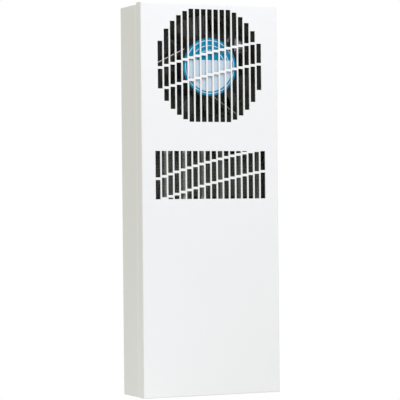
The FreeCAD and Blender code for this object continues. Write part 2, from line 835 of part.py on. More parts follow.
def blade_section(body, radius, chord, stagger):
    """A cambered blade section of even thickness across the radial direction."""
    sketch = body.newObject("Sketcher::SketchObject", "section")
    sketch.AttachmentSupport = (origin_of(body, "YZ_Plane"), [""])
    sketch.MapMode = "FlatFace"
    sketch.AttachmentOffset = FreeCAD.Placement(Vector(), FreeCAD.Rotation(Vector(0, 0, 1), 1))
    drive(sketch, AttachmentOffset__Base__z=radius, AttachmentOffset__Base__y="-blade_middle",
          AttachmentOffset__Rotation__Angle=f"-{stagger} * 1 deg")
    span = size(chord)
    bow = size("blade_camber")
    thick = size("blade_thick")
    nose = Vector(-span / 2, -bow / 2)
    tail = Vector(span / 2, -bow / 2)
    up = Vector(0, thick)
    sketch.addGeometry(Part.Arc(tail, Vector(0, bow / 2), nose))
    sketch.addGeometry(Part.LineSegment(tail, tail + up))
    sketch.addGeometry(Part.Arc(tail + up, Vector(0, bow / 2 + thick), nose + up))
    sketch.addGeometry(Part.LineSegment(nose, nose + up))
    low, high = "-blade_camber / 2", "blade_thick - blade_camber / 2"
    place_point(sketch, 1, f"{chord} / 2", low, end=1)
    place_point(sketch, 1, f"{chord} / 2", high, end=2)
    place_point(sketch, 3, f"-{chord} / 2", low, end=1)
    place_point(sketch, 3, f"-{chord} / 2", high, end=2)
    for arc, level in ((0, 1), (2, 2)):
        sketch.addConstraint(Sketcher.Constraint("Coincident", arc, 1, 1, level))
        sketch.addConstraint(Sketcher.Constraint("Coincident", arc, 2, 3, level))
        index = sketch.addConstraint(Sketcher.Constraint("Radius", arc, sketch.Geometry[arc].Radius))
        formula = f"({chord} ^ 2 / 4 + blade_camber ^ 2) / (2 * blade_camber)"
        sketch.setExpression(f"Constraints[{index}]", bind(formula))
    return sketch


def make_fan_rotor(fan):
    """External rotor: a cup with five twisted blades, and the boss that holds the shaft."""
    body = new_body(f"{fan.name}_cup")
    cup = new_sketch(body, "XY_Plane", "-rotor_front")
    circle(cup, "0", "0", "rotor_radius")
    pad(body, cup, "rotor_length", reverse=True)
    sections = [
        blade_section(body, "cavity_radius - rotor_wall", "root_chord", "root_stagger"),
        blade_section(body, "(rotor_radius + tip_radius) / 2", "middle_chord", "middle_stagger"),
        blade_section(body, "tip_radius + tip_clear", "tip_chord", "tip_stagger"),
    ]
    doc.recompute()
    blade = body.newObject("PartDesign::AdditiveLoft", "blade")
    blade.Profile = sections[0]
    blade.Sections = sections[1:]
    doc.recompute()
    polar(body, blade, 5)
    doc.recompute()
    trim = new_sketch(body, "XZ_Plane")
    rectangle(trim, "tip_radius", "fan_radius", "-fan_depth", "0")
    turn(body, trim, "PartDesign::Groove")
    hollow = new_sketch(body, "XZ_Plane")
    boss = "2 * shaft_radius"
    boss_end = "tube_end + rotor_gap"
    polygon(hollow, [
        ("0", "-rotor_front"),
        ("cavity_radius", "-rotor_front"),
        ("cavity_radius", "-cavity_floor"),
        (boss, "-cavity_floor"),
        (boss, f"-({boss_end})"),
        ("0", f"-({boss_end})"),
    ])
    turn(body, hollow, "PartDesign::Groove")
    hole = new_sketch(body, "XY_Plane", "-rotor_rear")
    circle(hole, "0", "0", "shaft_radius + press_clear")
    cut(body, hole, f"rotor_rear - ({boss_end})", reverse=True)
    fan.finish(body, "rotor", size("blade_phase"))


def make_fan_shaft(fan):
    body = new_body(f"{fan.name}_spindle")
    sketch = new_sketch(body, "XZ_Plane")
    chamfer = "shaft_radius / 8"
    front = "-hub_plate - rotor_gap"
    polygon(sketch, [
        ("0", "-rotor_rear"),
        (f"shaft_radius - {chamfer}", "-rotor_rear"),
        ("shaft_radius", f"{chamfer} - rotor_rear"),
        ("shaft_radius", f"{front} - {chamfer}"),
        (f"shaft_radius - {chamfer}", front),
        ("0", front),
    ])
    turn(body, sketch)
    fan.finish(body, "shaft")


def make_fan_bearings(fan):
    """Two ball bearings, drawn as rings with the gap between the races on both faces."""
    body = new_body(f"{fan.name}_races")
    race = "(bearing_radius - bearing_bore) / 3"
    recess = "bearing_width / 8"
    for start in ("hub_plate + rotor_gap", "tube_end - bearing_width"):
        sketch = new_sketch(body, "XZ_Plane")
        high, low = f"-({start})", f"-({start} + bearing_width)"
        inner, outer = f"bearing_bore + {race}", f"bearing_radius - {race}"
        polygon(sketch, [
            ("bearing_bore", low),
            (inner, low),
            (inner, f"{low} + {recess}"),
            (outer, f"{low} + {recess}"),
            (outer, low),
            ("bearing_radius", low),
            ("bearing_radius", high),
            (outer, high),
            (outer, f"{high} - {recess}"),
            (inner, f"{high} - {recess}"),
            (inner, high),
            ("bearing_bore", high),
        ])
        turn(body, sketch)
    fan.finish(body, "bearings")


def make_fan_stator(fan):
    """The laminated stator on the bearing tube, and its windings' end turns."""
    body = new_body(f"{fan.name}_laminations")
    stack = new_sketch(body, "XY_Plane", "-stator_start")
    circle(stack, "0", "0", "stator_radius")
    circle(stack, "0", "0", "stator_bore")
    pad(body, stack, "stator_stack", reverse=True)
    slot = new_sketch(body, "XY_Plane", "-stator_start")
    rectangle(slot, "stator_radius / 2", "stator_radius + rotor_gap", "-winding_height", "winding_height")
    gap = cut(body, slot, "stator_stack")
    polar(body, gap, 6)
    fan.finish(body, "stator")

    body = new_body(f"{fan.name}_coils")
    inner, outer = "stator_bore + winding_height", "stator_radius - winding_height"
    for high in ("winding_height - stator_start", "-stator_start - stator_stack"):
        sketch = new_sketch(body, "XZ_Plane")
        low = f"{high} - winding_height"
        polygon(sketch, [
            (inner, low),
            (outer, low),
            (outer, high),
            (inner, high),
        ])
        turn(body, sketch)
    fan.finish(body, "windings")


def make_fan_label(fan):
    body = new_body(f"{fan.name}_disc")
    sketch = new_sketch(body, "XY_Plane")
    circle(sketch, "label_across", "-label_drop", "label_radius")
    pad(body, sketch, "label_thick")
    fan.finish(body, "label")


def make_fan_screws(fan):
    made = []
    for number, (across, up) in enumerate(ear_places()):
        body = screw(f"{fan.name}_screw_{number}", "screw_head", "screw_head_height",
                     "fan_flange + 2 * step")
        drive(body, Placement__Base__x=across, Placement__Base__y=up)
        made.append(body)
    fan.finish(together(f"{fan.name}_fixings", made), "screws")


def make_fan_plate(label, face, low, high, rise, shelf, shelf_length, outward):
    """The bulkhead that carries a fan, with a shelf that closes its side of the core.

    The face is the plate's side towards the fan flange. Outward is -1 for the front and 1 for the rear.
    """
    to_front = outward < 0
    back = f"{face} + {outward} * sheet_gauge"
    body = new_body(label)
    sketch = new_sketch(body, "XZ_Plane", back)
    rectangle(sketch, "-fit_half", "fit_half", low, high)
    circle(sketch, "0", rise, "barrel_radius + fit_clear")
    for across, up in ear_places():
        circle(sketch, across, f"{rise} + {up}", "screw_hole")
    pad(body, sketch, "sheet_gauge", reverse=not to_front)
    ledge = new_sketch(body, "XZ_Plane", face)
    rectangle(ledge, "-lip_half", "lip_half", shelf, f"{shelf} + sheet_gauge")
    pad(body, ledge, shelf_length, reverse=not to_front)
    for side in (-1, 1):
        ear = new_sketch(body, "XZ_Plane", back)
        edge = f"{side} * fit_half"
        rectangle(ear, f"{edge} - {side} * sheet_gauge", edge,
                  f"{low} + cover_lip", f"{high} - cover_lip")
        pad(body, ear, "cover_lip - 2 * sheet_gauge", reverse=to_front)
    return body


def make_fan_plates():
    body = make_fan_plate("ambient_fan_plate", "fan_plate_face", "end_plate_level", "roof",
                          "ambient_fan_rise", "end_plate_level",
                          "panel_back - fit_clear - fan_plate_face", -1)
    keep(body)
    body = make_fan_plate("enclosure_fan_plate", "inner_plate_face", "floor", "-end_plate_level",
                          "-enclosure_fan_drop", "-end_plate_level - sheet_gauge",
                          "inner_plate_face - rear_face - fit_clear", 1)
    holes = new_sketch(body, "XZ_Plane", "block_face")
    circle(holes, "inlet_across", "-inlet_drop", "inlet_radius + fit_clear")
    circle(holes, "earth_across", "-block_drop", "earth_radius + screw_clear")
    for across in block_screws():
        circle(holes, across, "-block_drop", "screw_hole")
    cut(body, holes, "sheet_gauge")
    keep(body)


def block_screws():
    """The two fixing screws at the ends of the terminal block."""
    yield "block_left + 2 * screw_head"
    yield "block_left + block_length - 2 * screw_head"


# Wiring in the sealed loop
def make_terminal_block():
    """A moulded three-way block: a base with four barriers and a screw between each two of them."""
    body = new_body("terminal_block")
    low, high = "-block_drop - block_height / 2", "block_height / 2 - block_drop"
    base = new_sketch(body, "XZ_Plane", "block_face")
    rectangle(base, "block_left", "block_left + block_length", low, high)
    for across in block_screws():
        circle(base, across, "-block_drop", "screw_hole")
    pad(body, base, "block_depth")
    barrier = new_sketch(body, "XZ_Plane", "block_face")
    start = "block_left + 4 * screw_head"
    rectangle(barrier, start, f"{start} + barrier_thick", low, high)
    wall = pad(body, barrier, "block_depth + barrier_rise")
    pitch = "(block_length - 8 * screw_head - barrier_thick) / 3"
    linear(body, wall, "X_Axis", f"3 * {pitch}", "4")
    wells = new_sketch(body, "XZ_Plane", "block_face + block_depth")
    for index in range(3):
        middle = f"{start} + barrier_thick / 2 + ({index} + 0.5) * {pitch}"
        circle(wells, middle, "-block_drop", "screw_radius + press_clear")
    cut(body, wells, "block_depth / 2")
    keep(body)

    made = []
    for index in range(3):
        body = screw(f"terminal_screw_{index}", "screw_head * 2 / 3", "screw_head_height",
                     "block_depth / 2")
        body.Placement = FreeCAD.Placement(Vector(), FreeCAD.Rotation(Vector(1, 0, 0), 90))
        drive(body, Placement__Base__x=f"{start} + barrier_thick / 2 + ({index} + 0.5) * {pitch}",
              Placement__Base__y="-block_face - block_depth", Placement__Base__z="-block_drop")
        made.append(body)
    keep(together("terminal_screws", made))

    made = []
    for number, across in enumerate(block_screws()):
        body = screw(f"block_screw_{number}", "screw_head", "screw_head_height",
                     "block_depth + 2 * step")
        body.Placement = FreeCAD.Placement(Vector(), FreeCAD.Rotation(Vector(1, 0, 0), 90))
        drive(body, Placement__Base__x=across, Placement__Base__y="-block_face - block_depth",
              Placement__Base__z="-block_drop")
        made.append(body)
    keep(together("terminal_block_screws", made))


def make_inlet():
    """The supply inlet: a flanged bushing through the rear panel and the bulkhead, with its locknut."""
    end = "block_face + 2 * inlet_flange"
    body = new_body("inlet_bushing")
    sketch = new_sketch(body, "XZ_Plane")
    polygon(sketch, [
        ("inlet_bore", "sheet_gauge - inlet_flange"),
        ("inlet_radius + inlet_flange", "sheet_gauge - inlet_flange"),
        ("inlet_radius + inlet_flange", "sheet_gauge"),
        ("inlet_radius", "sheet_gauge"),
        ("inlet_radius", end),
        ("inlet_bore", end),
    ])
    turn(body, sketch)
    body.Placement = FreeCAD.Placement(Vector(), FreeCAD.Rotation(Vector(1, 0, 0), 90))
    drive(body, Placement__Base__x="inlet_across", Placement__Base__z="-inlet_drop")
    keep(body)

    body = new_body("inlet_locknut")
    sketch = new_sketch(body, "XZ_Plane", "block_face")
    hexagon(sketch, "inlet_across", "-inlet_drop", "inlet_radius + inlet_flange")
    circle(sketch, "inlet_across", "-inlet_drop", "inlet_radius + press_clear")
    pad(body, sketch, "inlet_flange")
    keep(body)


def make_earth_stud():
    body = new_body("earth_stud")
    sketch = new_sketch(body, "XZ_Plane")
    head = "2 * earth_radius"
    end = "block_face + 4 * earth_radius"
    polygon(sketch, [
        ("0", "inner_plate_face - earth_radius"),
        (head, "inner_plate_face - earth_radius"),
        (head, "inner_plate_face"),
        ("earth_radius", "inner_plate_face"),
        ("earth_radius", end),
        ("0", end),
    ])
    turn(body, sketch)
    body.Placement = FreeCAD.Placement(Vector(), FreeCAD.Rotation(Vector(1, 0, 0), 90))
    drive(body, Placement__Base__x="earth_across", Placement__Base__z="-block_drop")
    keep(body)

    body = new_body("earth_nut")
    sketch = new_sketch(body, "XZ_Plane", "block_face")
    hexagon(sketch, "earth_across", "-block_drop", head)
    circle(sketch, "earth_across", "-block_drop", "earth_radius + press_clear")
    pad(body, sketch, "1.5 * earth_radius")
    keep(body)


def make_grommets():
    """Grommets where the fan lead passes the divider and the core's bottom plate."""
    made = []
    for number, level in enumerate(("0", "-end_plate_level - half_gauge")):
        body = new_body(f"grommet_{number}")
        sketch = new_sketch(body, "XZ_Plane")
        bore = "lead_radius + lead_clear"
        rim = "half_gauge + sheet_gauge * 3 / 4"
        polygon(sketch, [
            (bore, f"-({rim})"),
            ("grommet_flange", f"-({rim})"),
            ("grommet_flange", "-half_gauge"),
            ("grommet_neck", "-half_gauge"),
            ("grommet_neck", "half_gauge"),
            ("grommet_flange", "half_gauge"),
            ("grommet_flange", rim),
            (bore, rim),
        ])
        turn(body, sketch)
        drive(body, Placement__Base__x="lead_across", Placement__Base__y="-lead_depth",
              Placement__Base__z=level)
        made.append(body)
    keep(together("lead_grommets", made))


def rounded_path(points, radii):
    """Straight runs joined by tangent arcs, one radius for each inner point."""
    edges = []
    start = points[0]
    for i in range(1, len(points) - 1):
        inward = (points[i] - points[i - 1]).normalize()
        onward = (points[i + 1] - points[i]).normalize()
        turn_angle = inward.getAngle(onward)
        back = radii[i - 1] * math.tan(turn_angle / 2)
        enter = points[i] - inward * back
        leave = points[i] + onward * back
        bisector = (onward - inward).normalize()
        inset = back / math.sin(turn_angle / 2) * (1 - math.cos(turn_angle / 2))
        middle = points[i] + bisector * inset
        edges.append(Part.LineSegment(start, enter).toShape())
        edges.append(Part.Arc(enter, middle, leave).toShape())
        start = leave
    edges.append(Part.LineSegment(start, points[-1]).toShape())
    return Part.Wire(edges)


def make_lead(label, points, radii):
    """A round two-core lead along its held route."""
    path = rounded_path(points, radii)
    radius = size("lead_radius")
    ring = Part.Wire(Part.makeCircle(radius, points[0], points[1] - points[0]))
    tube = path.makePipeShell([ring], True, True)
    ideal = math.pi * radius ** 2 * path.Length
    if abs(tube.Volume - ideal) > 0.01 * ideal:
        raise RuntimeError(f"{label} has the wrong volume")
    lead = doc.addObject("Part::Feature", label)
    lead.Shape = tube
    keep(lead)


def make_leads():
    """Both fan leads: from a fan's barrel along the left wall to the terminal block."""
    wall = size("lead_across")
    run = -size("lead_depth")
    fan_depth = -size("core_middle")
    exit_left = -(size("barrel_radius") + size("lead_clear"))
    top = size("ambient_fan_rise")
    level = size("end_plate_level")
    entry = size("block_left") - size("lead_clear")
    block_mid = -size("block_drop")
    spread = size("block_height") / 4
    bend = 6 * size("lead_radius")
    make_lead("ambient_fan_lead", [
        Vector(exit_left, fan_depth, top),
        Vector(wall, fan_depth, top),
        Vector(wall, fan_depth, (top + level) / 2),
        Vector(wall, run, level + 4 * bend / 3),
        Vector(wall, run, block_mid + spread),
        Vector(entry, run, block_mid + spread),
    ], [bend, 2 * bend, 2 * bend, bend])
    low = -size("enclosure_fan_drop")
    make_lead("enclosure_fan_lead", [
        Vector(exit_left, fan_depth, low),
        Vector(wall, fan_depth, low),
        Vector(wall, fan_depth, (low + block_mid) / 2),
        Vector(wall, run, block_mid - spread),
        Vector(entry, run, block_mid - spread),
    ], [bend, bend, bend])


def build():
    make_front_cover()
    make_chassis()
    make_rear_panel()
    make_seals()
    make_cover_hooks()
    make_inserts()
    make_cover_screws()
    make_heat_pipes()
    make_fins("ambient_fins", 1)
    make_fins("enclosure_fins", -1)
    make_core_plates()
    make_fan_plates()
    for fan in (AMBIENT_FAN, ENCLOSURE_FAN):
        make_fan_housing(fan)
        make_fan_rotor(fan)
        make_fan_shaft(fan)
        make_fan_bearings(fan)
        make_fan_stator(fan)
        make_fan_screws(fan)
    make_fan_label(AMBIENT_FAN)
    make_terminal_block()
    make_inlet()
    make_earth_stud()
    make_grommets()
    make_leads()
    doc.recompute()


def write():
    """Check every object and then write each sub-part to a file of its own."""
    for thing in doc.Objects:
        faults = {"Invalid", "Error"} & set(thing.State)
        if faults:
            raise RuntimeError(f"{thing.Label} is {sorted(faults)}")
    for part in parts:
        if part.Shape.isNull() or not part.Shape.isValid():
            raise RuntimeError(f"{part.Label} has no valid shape")
    os.makedirs("parts", exist_ok=True)
    for part in parts:
        part.Shape.exportStep(os.path.join("parts", f"{part.Label}.step"))
        box = part.Shape.BoundBox
        print(f"{part.Label}: {len(part.Shape.Solids)} solids, {part.Shape.Volume:.0f} mm3, "
              f"{box.XLength:.1f} x {box.YLength:.1f} x {box.ZLength:.1f}")


fill_sheet()
build()
write()
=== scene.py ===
"""Looks of an enclosure heat exchanger: finishes, fine visual pieces, studio light and camera."""
import json
import logging
import math
from dataclasses import dataclass
from enum import Enum

import bmesh
import bpy
from mathutils import Matrix, Vector


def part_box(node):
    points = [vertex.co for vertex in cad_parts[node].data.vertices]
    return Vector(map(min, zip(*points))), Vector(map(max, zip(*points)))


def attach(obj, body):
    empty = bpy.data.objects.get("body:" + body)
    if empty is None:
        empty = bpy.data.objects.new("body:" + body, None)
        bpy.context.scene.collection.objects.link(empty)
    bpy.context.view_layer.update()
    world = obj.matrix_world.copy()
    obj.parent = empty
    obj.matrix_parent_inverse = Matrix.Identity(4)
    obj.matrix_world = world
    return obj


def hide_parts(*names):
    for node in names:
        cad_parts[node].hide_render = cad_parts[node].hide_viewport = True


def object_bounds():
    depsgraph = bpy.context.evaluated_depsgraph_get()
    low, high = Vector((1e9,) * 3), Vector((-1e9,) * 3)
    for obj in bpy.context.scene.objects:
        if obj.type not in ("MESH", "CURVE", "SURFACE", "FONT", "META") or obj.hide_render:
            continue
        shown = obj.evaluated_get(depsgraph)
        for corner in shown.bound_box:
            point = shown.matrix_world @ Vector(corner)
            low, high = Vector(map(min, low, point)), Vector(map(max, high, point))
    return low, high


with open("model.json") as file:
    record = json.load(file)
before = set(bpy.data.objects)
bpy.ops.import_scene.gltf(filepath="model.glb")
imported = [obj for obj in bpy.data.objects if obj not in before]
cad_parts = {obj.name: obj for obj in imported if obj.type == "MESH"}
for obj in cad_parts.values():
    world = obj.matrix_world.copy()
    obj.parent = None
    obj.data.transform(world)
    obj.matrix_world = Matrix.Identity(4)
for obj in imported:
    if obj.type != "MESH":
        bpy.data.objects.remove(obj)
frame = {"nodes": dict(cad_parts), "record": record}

log = logging.getLogger("heat_exchanger")
CAD_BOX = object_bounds()
MM = 0.001

# Shares and scales that every finish has in common
FINE_DETAIL = 2.0
CAST_DETAIL = 5.0
DRAWN_STRETCH = 0.04
BLOTCH_SCALE = 9.0
BLOTCH_DETAIL = 3.0
BLOTCH_SHARE = 0.5
TINT_ENDS = (0.3, 0.7)
GLOSS_SPREAD = 0.08
LEAST_ROUGHNESS = 0.05
BUMP_STRENGTH = 0.6

Colour = tuple[float, float, float]
WHITE: Colour = (1.0, 1.0, 1.0)


class Grain(Enum):
    """The small-scale pattern of a surface."""

    POWDER = "fine orange peel of a powder coat"
    SPANGLE = "crystal flowers of galvanised sheet"
    DRAWN = "lines along the run of a drawn metal"
    CAST = "sand grain under enamel"
    MOULD = "etched skin of a moulding"
    FOAM = "open cells of foam rubber"


class Way(Enum):
    """The direction along which painted light or shade grows."""

    ACROSS = "along the width"
    DEEP = "along the depth"


@dataclass(frozen=True)
class Finish:
    """A surface finish that is turned into one procedural material.

    Attributes:
        name: The material's name.
        colour: Main colour, linear.
        grain: Small-scale pattern.
        roughness: Middle roughness.
        metallic: One for bare metal.
        scale: Pattern cells per metre.
        relief: Height of the pattern in metres.
        vary: How far the colour strays with the pattern.
        specular: Specular level, where a half is plain paint or plastic.
    """

    name: str
    colour: Colour
    grain: Grain
    roughness: float = 0.5
    metallic: float = 0.0
    scale: float = 800.0
    relief: float = 0.02 * MM
    vary: float = 0.04
    specular: float = 0.5

    def shade(self, amount: float) -> tuple[float, float, float, float]:
        """The colour made lighter or darker by a share of itself."""
        return tuple(min(1.0, max(0.0, part * (1.0 + amount))) for part in self.colour) + (1.0,)

    def material(self) -> bpy.types.Material:
        """Make the material, or return the one that was made before.

        Returns:
            The procedural material of this finish.
        """
        known = bpy.data.materials.get(self.name)
        if known is not None:
            return known
        made = bpy.data.materials.new(self.name)
        made.use_nodes = True
        nodes, links = made.node_tree.nodes, made.node_tree.links
        shader = nodes["Principled BSDF"]
        shader.inputs["Metallic"].default_value = self.metallic
        shader.inputs["Specular IOR Level"].default_value = self.specular
        coords = nodes.new("ShaderNodeTexCoord")
        place = nodes.new("ShaderNodeMapping")
        links.new(coords.outputs["Object"], place.inputs["Vector"])
        if self.grain is Grain.DRAWN:
            place.inputs["Scale"].default_value = (1.0, 1.0, DRAWN_STRETCH)
        height = self._pattern(nodes, links, place.outputs["Vector"])
        stray = self._blotches(nodes, links, coords.outputs["Object"], height)
        tint = nodes.new("ShaderNodeValToRGB")
        for end, position, amount in zip(tint.color_ramp.elements, TINT_ENDS, (-self.vary, self.vary)):
            end.position = position
            end.color = self.shade(amount)
        links.new(stray, tint.inputs["Fac"])
        links.new(tint.outputs["Color"], shader.inputs["Base Color"])
        gloss = nodes.new("ShaderNodeMapRange")
        gloss.inputs["To Min"].default_value = max(LEAST_ROUGHNESS, self.roughness - GLOSS_SPREAD)
        gloss.inputs["To Max"].default_value = min(1.0, self.roughness + GLOSS_SPREAD)
        links.new(stray, gloss.inputs["Value"])
        links.new(gloss.outputs["Result"], shader.inputs["Roughness"])
        bump = nodes.new("ShaderNodeBump")
        bump.inputs["Strength"].default_value = BUMP_STRENGTH
        bump.inputs["Distance"].default_value = self.relief
        links.new(height, bump.inputs["Height"])
        links.new(bump.outputs["Normal"], shader.inputs["Normal"])
        return made

    def _pattern(self, nodes: bpy.types.Nodes, links: bpy.types.NodeLinks,
                 vector: bpy.types.NodeSocket) -> bpy.types.NodeSocket:
        """Add the grain's texture.

        Args:
            nodes: The material's nodes.
            links: The material's links.
            vector: The socket with the pattern's coordinates.

        Returns:
            The socket with the pattern's height.
        """
        if self.grain in (Grain.SPANGLE, Grain.FOAM):
            cells = nodes.new("ShaderNodeTexVoronoi")
            cells.inputs["Scale"].default_value = self.scale
            links.new(vector, cells.inputs["Vector"])
            if self.grain is Grain.FOAM:
                return cells.outputs["Distance"]
            grey = nodes.new("ShaderNodeRGBToBW")
            links.new(cells.outputs["Color"], grey.inputs["Color"])
            return grey.outputs["Val"]
        noise = nodes.new("ShaderNodeTexNoise")
        noise.inputs["Scale"].default_value = self.scale
        noise.inputs["Detail"].default_value = CAST_DETAIL if self.grain is Grain.CAST else FINE_DETAIL
        links.new(vector, noise.inputs["Vector"])
        return noise.outputs["Fac"]

    @staticmethod
    def _blotches(nodes: bpy.types.Nodes, links: bpy.types.NodeLinks, vector: bpy.types.NodeSocket,
                  height: bpy.types.NodeSocket) -> bpy.types.NodeSocket:
        """Mix the pattern with wide blotches, so that a large sheet isn't the same all over.

        Args:
            nodes: The material's nodes.
            links: The material's links.
            vector: The socket with the blotches' coordinates.
            height: The socket with the pattern's height.

        Returns:
            The socket with the mixed value.
        """
        blotch = nodes.new("ShaderNodeTexNoise")
        blotch.inputs["Scale"].default_value = BLOTCH_SCALE
        blotch.inputs["Detail"].default_value = BLOTCH_DETAIL
        links.new(vector, blotch.inputs["Vector"])
        share = nodes.new("ShaderNodeMath")
        share.operation = "MULTIPLY"
        share.inputs[1].default_value = BLOTCH_SHARE
        links.new(blotch.outputs["Fac"], share.inputs[0])
        both = nodes.new("ShaderNodeMath")
        both.operation = "MULTIPLY_ADD"
        both.inputs[1].default_value = 1.0 - BLOTCH_SHARE
        links.new(height, both.inputs[0])
        links.new(share.outputs[0], both.inputs[2])
        return both.outputs[0]


WHITE_COAT = Finish("white_powder_coat", (0.850, 0.854, 0.856), Grain.POWDER, roughness=0.42,
                    scale=1100.0, relief=0.03 * MM, vary=0.012)
ZINC_SHEET = Finish("galvanised_sheet", (0.52, 0.53, 0.54), Grain.SPANGLE, roughness=0.42, metallic=0.5,
                    scale=160.0, relief=0.01 * MM, vary=0.10)
BLACK_FOAM = Finish("black_cell_foam", (0.020, 0.020, 0.021), Grain.FOAM, roughness=0.9,
                    scale=1600.0, relief=0.3 * MM, vary=0.35)
FIN_METAL = Finish("dull_fin_aluminium", (0.395, 0.405, 0.352), Grain.DRAWN, roughness=0.6, metallic=0.2,
                   scale=500.0, relief=0.01 * MM, vary=0.10)
PIPE_METAL = Finish("drawn_pipe_aluminium", (0.96, 0.97, 0.91), Grain.DRAWN, metallic=0.5,
                    scale=900.0, relief=0.01 * MM, vary=0.03, specular=1.0)
CAST_BLACK = Finish("black_enamelled_casting", (0.022, 0.0224, 0.018), Grain.CAST, roughness=0.7,
                    scale=700.0, vary=0.10, specular=0.02)
BLADE_BLACK = Finish("black_moulded_blade", (0.020, 0.0204, 0.0165), Grain.MOULD, roughness=0.16,
                     scale=1400.0, relief=0.004 * MM, vary=0.08)
GROUND_STEEL = Finish("ground_steel", (0.56, 0.56, 0.56), Grain.DRAWN, roughness=0.28, metallic=1.0,
                      scale=1500.0, relief=0.01 * MM, vary=0.08)
LAMINATED = Finish("varnished_lamination", (0.16, 0.16, 0.165), Grain.DRAWN, metallic=0.7,
                   scale=1800.0, relief=0.05 * MM, vary=0.2)
COPPER_WIRE = Finish("enamelled_copper", (0.42, 0.15, 0.05), Grain.DRAWN, roughness=0.35, metallic=0.7,
                     scale=2600.0, relief=0.2 * MM, vary=0.3)
ZINC_SCREW = Finish("zinc_plated_screw", (0.58, 0.58, 0.56), Grain.MOULD, roughness=0.33, metallic=0.9,
                    scale=1500.0, relief=0.01 * MM, vary=0.08)
BLACK_SCREW = Finish("black_oxide_screw", (0.02, 0.02, 0.02), Grain.MOULD, roughness=0.4, metallic=0.6,
                     scale=1500.0, relief=0.01 * MM, vary=0.15)
BLACK_MOULD = Finish("black_moulded_plastic", (0.030, 0.030, 0.031), Grain.MOULD,
                     scale=1300.0, relief=0.03 * MM, vary=0.15)
BRASS = Finish("bright_brass", (0.56, 0.38, 0.12), Grain.DRAWN, roughness=0.3, metallic=1.0,
               scale=1400.0, relief=0.01 * MM, vary=0.08)
JACKET = Finish("grey_lead_jacket", (0.05, 0.05, 0.052), Grain.MOULD, roughness=0.55,
                scale=1200.0, relief=0.03 * MM, vary=0.15)


